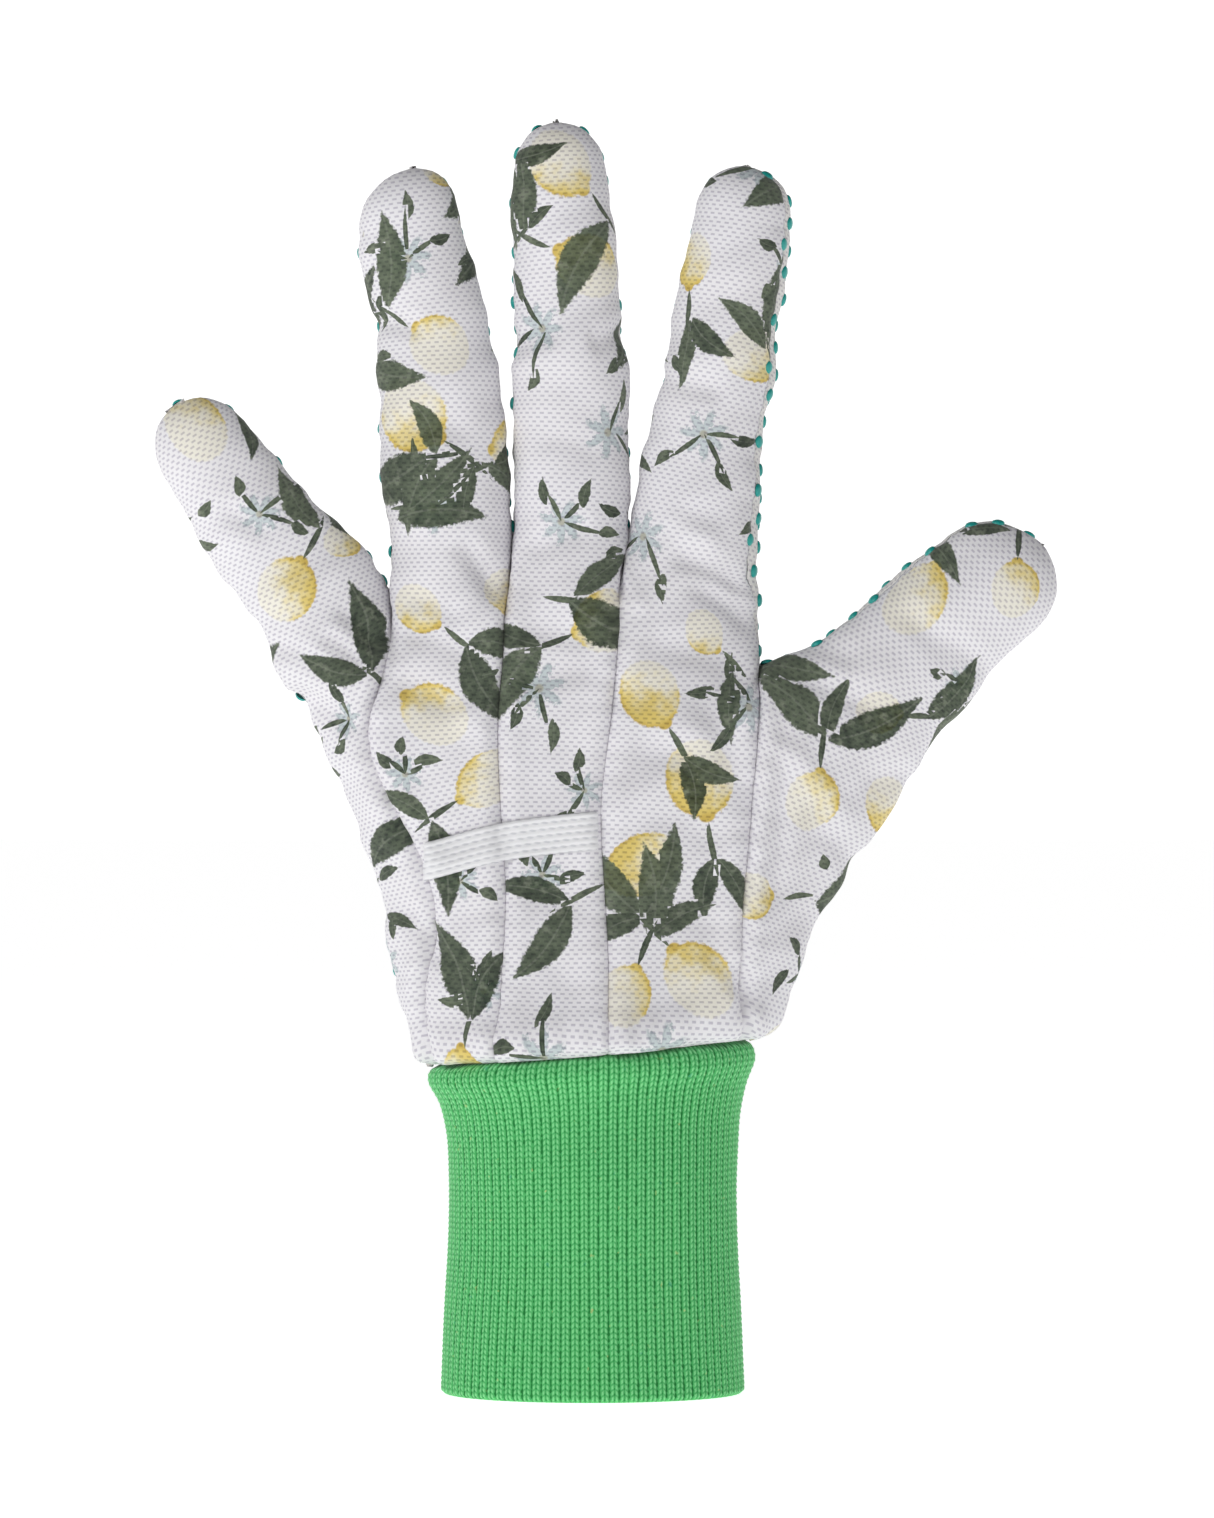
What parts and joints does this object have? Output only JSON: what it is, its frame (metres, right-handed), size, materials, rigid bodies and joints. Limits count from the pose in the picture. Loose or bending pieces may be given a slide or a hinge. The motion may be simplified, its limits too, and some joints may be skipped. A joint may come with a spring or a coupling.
{
  "type": "gardening glove",
  "caption": "Left-hand gardening glove in printed woven cotton with a dotted palm, an elastic across the back and a rib-knit cuff, standing with its fingers up.",
  "frame": {"origin": "centre of the glove's outline on the surface that its cuff stands on", "axes": "+Z from the cuff up to the fingertips, +X towards the thumb, -Y out of the back of the hand, +Y out of the palm"},
  "size_m": [0.1892, 0.0453, 0.2673],
  "materials": {
    "print_cloth": "plain-woven white cotton printed with lemons, dark green leaves and pale blossoms",
    "dotted_cloth": "white cotton cloth with small raised teal grip dots",
    "rib_knit": "bright green heathered rib knit",
    "elastic": "white woven elastic tape with ribs along it",
    "seam_thread": "white overlock thread"
  },
  "bodies": {
    "hand": {"knit_cuff": "rib_knit", "wrist_overlock_seam": "seam_thread", "back_elastic": "elastic", "little_back_strip": "print_cloth", "ring_back_strip": "print_cloth", "middle_back_strip": "print_cloth", "index_back_strip": "print_cloth", "palm_panel": "dotted_cloth", "thumb_back_panel": "print_cloth", "thumb_front_panel": "dotted_cloth"},
    "knuckles": {"little_back_lower": "print_cloth", "little_front_lower": "dotted_cloth", "ring_back_lower": "print_cloth", "ring_front_lower": "dotted_cloth", "middle_back_lower": "print_cloth", "middle_front_lower": "dotted_cloth", "index_back_lower": "print_cloth", "index_front_lower": "dotted_cloth"},
    "little_tip": {"little_back_tip": "print_cloth", "little_front_tip": "dotted_cloth"},
    "ring_tip": {"ring_back_tip": "print_cloth", "ring_front_tip": "dotted_cloth"},
    "middle_tip": {"middle_back_tip": "print_cloth", "middle_front_tip": "dotted_cloth"},
    "index_tip": {"index_back_tip": "print_cloth", "index_front_tip": "dotted_cloth"},
    "thumb": {"thumb_back_tip": "print_cloth", "thumb_front_tip": "dotted_cloth"}
  },
  "joints": [
    {"name": "knuckle_fold", "type": "hinge", "parent": "hand", "child": "knuckles", "pos_m": [-0.019, 0.005, 0.15995], "axis": [-0.9857, 0, -0.1686], "range_deg": [-10, 70]},
    {"name": "little_bend", "type": "hinge", "parent": "knuckles", "child": "little_tip", "pos_m": [-0.07123, 0.001, 0.17927], "axis": [-0.829, 0, -0.5592], "range_deg": [-5, 90]},
    {"name": "ring_bend", "type": "hinge", "parent": "knuckles", "child": "ring_tip", "pos_m": [-0.03588, 0.001, 0.21905], "axis": [-0.9903, 0, -0.1392], "range_deg": [-5, 90]},
    {"name": "middle_bend", "type": "hinge", "parent": "knuckles", "child": "middle_tip", "pos_m": [-0.00771, 0.001, 0.22014], "axis": [-0.9998, 0, -0.0175], "range_deg": [-5, 90]},
    {"name": "index_bend", "type": "hinge", "parent": "knuckles", "child": "index_tip", "pos_m": [0.02288, 0.001, 0.21167], "axis": [-0.989, 0, 0.1478], "range_deg": [-5, 90]},
    {"name": "thumb_bend", "type": "hinge", "parent": "hand", "child": "thumb", "pos_m": [0.05965, 0.001, 0.15025], "axis": [-0.7038, 0, 0.7104], "range_deg": [-5, 50]}
  ]
}
